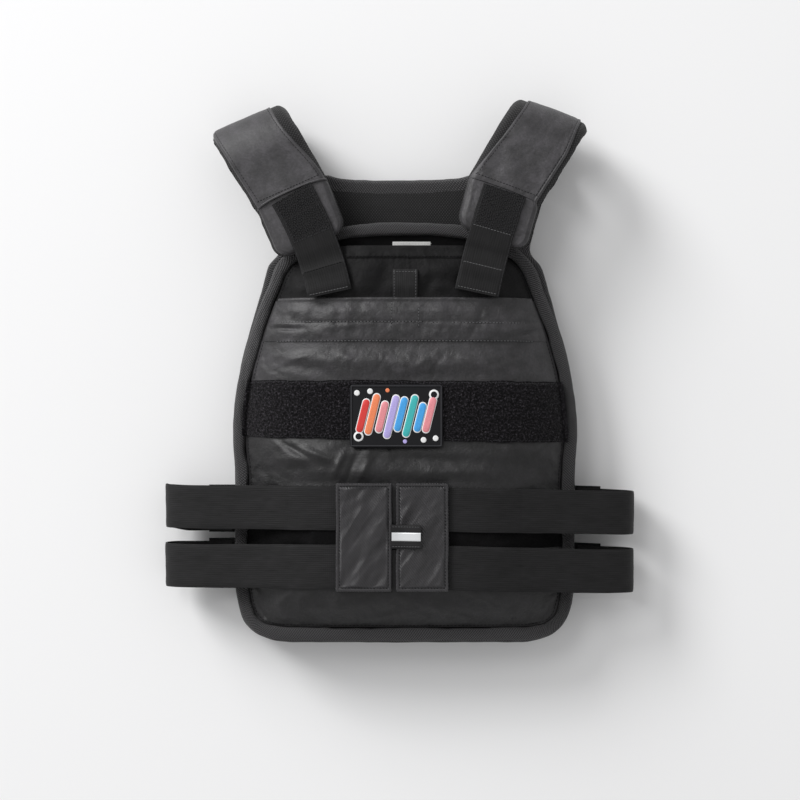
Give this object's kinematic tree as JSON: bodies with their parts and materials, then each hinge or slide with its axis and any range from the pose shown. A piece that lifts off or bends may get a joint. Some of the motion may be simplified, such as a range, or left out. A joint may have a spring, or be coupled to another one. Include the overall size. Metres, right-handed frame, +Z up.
{
  "type": "weighted vest",
  "caption": "Black weighted training vest lying on its back, with padded shoulder loops, a loaded front pocket, a hook-and-loop band with a patch, and elastic waist bands closed at the front.",
  "frame": {"origin": "on the floor, at the middle of the vest's outline", "axes": "+Z up from the floor and out of the front panel, +Y towards the shoulders, +X to the right in the picture"},
  "size_m": [0.442, 0.5084, 0.0938],
  "materials": {
    "mesh": "matte black air mesh over foam",
    "nylon": "black plain-weave nylon, slight sheen",
    "webbing": "black woven webbing",
    "elastic": "black ribbed elastic webbing",
    "loop": "black hook-and-loop pile",
    "twill": "dark grey coated twill with a sheen",
    "patch": "soft moulded patch, black ground with coloured shapes",
    "label": "white woven tape, bare",
    "reflector": "silver-grey reflective tape"
  },
  "bodies": {
    "root": {"rear_pad": "mesh", "rear_cover": "nylon", "front_pad": "mesh", "front_cover": "nylon", "pocket_hem": "nylon", "pocket_flap": "nylon", "loop_band": "loop", "patch": "patch", "tab_loop": "webbing", "mouth_label": "label", "closure_flap_left": "twill", "closure_flap_right": "twill", "pull_tab": "webbing", "reflective_strip": "reflector", "shoulder_pad_left": "mesh", "shoulder_face_left": "nylon", "shoulder_piping_left": "webbing", "shoulder_strap_left": "webbing", "waist_band_upper_left": "elastic", "side_tab_upper_left": "webbing", "waist_band_lower_left": "elastic", "side_tab_lower_left": "webbing", "shoulder_pad_right": "mesh", "shoulder_face_right": "nylon", "shoulder_piping_right": "webbing", "shoulder_strap_right": "webbing", "waist_band_upper_right": "elastic", "side_tab_upper_right": "webbing", "waist_band_lower_right": "elastic", "side_tab_lower_right": "webbing"}
  },
  "joints": []
}
